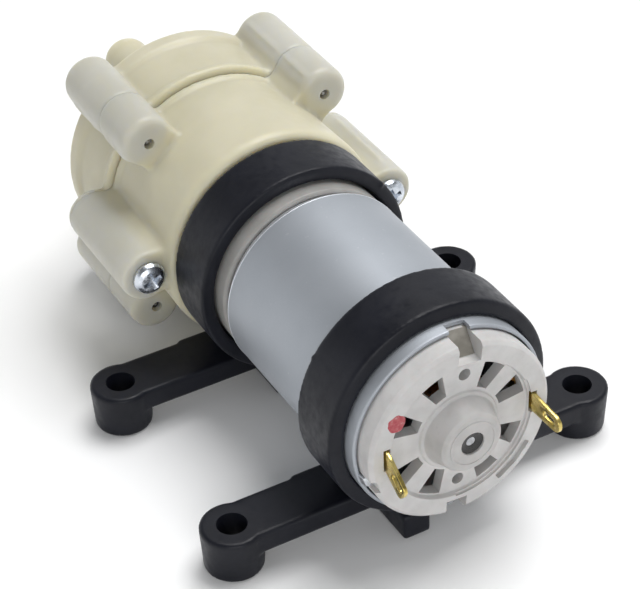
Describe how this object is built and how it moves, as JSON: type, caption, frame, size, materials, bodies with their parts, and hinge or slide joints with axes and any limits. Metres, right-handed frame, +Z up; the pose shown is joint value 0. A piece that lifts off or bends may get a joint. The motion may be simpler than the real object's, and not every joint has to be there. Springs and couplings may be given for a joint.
{
  "type": "diaphragm water pump",
  "caption": "Small electric diaphragm liquid pump: a round can motor drives a moulded head with hose nozzles, held in footed rubber mounting straps.",
  "frame": {"origin": "centre of the bounding box, on the plane under the four feet", "axes": "+Z up, +Y along the motor shaft towards the pump head, X across the feet"},
  "size_m": [0.0616, 0.0948, 0.0374],
  "materials": {
    "can_steel": "satin plated",
    "cap_plastic": "moulded",
    "bearing_bronze": "sintered",
    "terminal_brass": "stamped",
    "spring_copper": "stamped",
    "brush_carbon": "pressed",
    "magnet_ferrite": "sintered",
    "core_steel": "laminated",
    "winding_copper": "enamelled",
    "shaft_steel": "ground",
    "nylon": "moulded",
    "collar_plastic": "moulded",
    "head_plastic": "moulded",
    "screw_steel": "zinc plated",
    "valve_rubber": "moulded",
    "strap_rubber": "satin"
  },
  "bodies": {
    "pump_body": {"motor_can": "can_steel", "end_cap": "cap_plastic", "rear_bearing": "bearing_bronze", "front_bearing": "bearing_bronze", "terminal_left": "terminal_brass", "terminal_right": "terminal_brass", "brush_left": "brush_carbon", "brush_right": "brush_carbon", "brush_arm_left": "spring_copper", "brush_arm_right": "spring_copper", "magnet_left": "magnet_ferrite", "magnet_right": "magnet_ferrite", "valve_plate": "nylon", "motor_collar": "collar_plastic", "pump_housing": "head_plastic", "front_cover": "head_plastic", "motor_screw_left": "screw_steel", "motor_screw_right": "screw_steel", "side_screw_left": "screw_steel", "side_screw_right": "screw_steel", "head_screw_1": "screw_steel", "head_screw_2": "screw_steel", "head_screw_3": "screw_steel", "head_screw_4": "screw_steel", "diaphragm": "valve_rubber", "rear_strap": "strap_rubber", "front_strap": "strap_rubber"},
    "rotor": {"motor_shaft": "shaft_steel", "armature_core": "core_steel", "winding_1": "winding_copper", "winding_2": "winding_copper", "winding_3": "winding_copper", "commutator": "winding_copper", "crank_hub": "nylon", "crank_pin": "shaft_steel"},
    "wobble": {"wobble_plate": "nylon"},
    "inlet_flap_1": {"inlet_valve_1": "valve_rubber"},
    "inlet_flap_2": {"inlet_valve_2": "valve_rubber"},
    "inlet_flap_3": {"inlet_valve_3": "valve_rubber"},
    "outlet_flap": {"outlet_valve": "valve_rubber"}
  },
  "joints": [
    {"name": "rotor_spin", "type": "hinge", "parent": "pump_body", "child": "rotor", "pos_m": [0, 0, 0.0192], "axis": [0, 1, 0], "continuous": true},
    {"name": "wobble_rock", "type": "hinge", "parent": "pump_body", "child": "wobble", "pos_m": [0, 0.01855, 0.0192], "axis": [1, 0, 0], "range_deg": [-4, 4], "stiffness_Nm_per_rad": 0.05},
    {"name": "inlet_valve_1_lift", "type": "slide", "parent": "pump_body", "child": "inlet_flap_1", "axis": [0, -1, 0], "range_m": [0, 0.0004], "stiffness_N_per_m": 20},
    {"name": "inlet_valve_2_lift", "type": "slide", "parent": "pump_body", "child": "inlet_flap_2", "axis": [0, -1, 0], "range_m": [0, 0.0004], "stiffness_N_per_m": 20},
    {"name": "inlet_valve_3_lift", "type": "slide", "parent": "pump_body", "child": "inlet_flap_3", "axis": [0, -1, 0], "range_m": [0, 0.0004], "stiffness_N_per_m": 20},
    {"name": "outlet_valve_lift", "type": "slide", "parent": "pump_body", "child": "outlet_flap", "axis": [0, 1, 0], "range_m": [0, 0.0004], "stiffness_N_per_m": 20}
  ]
}
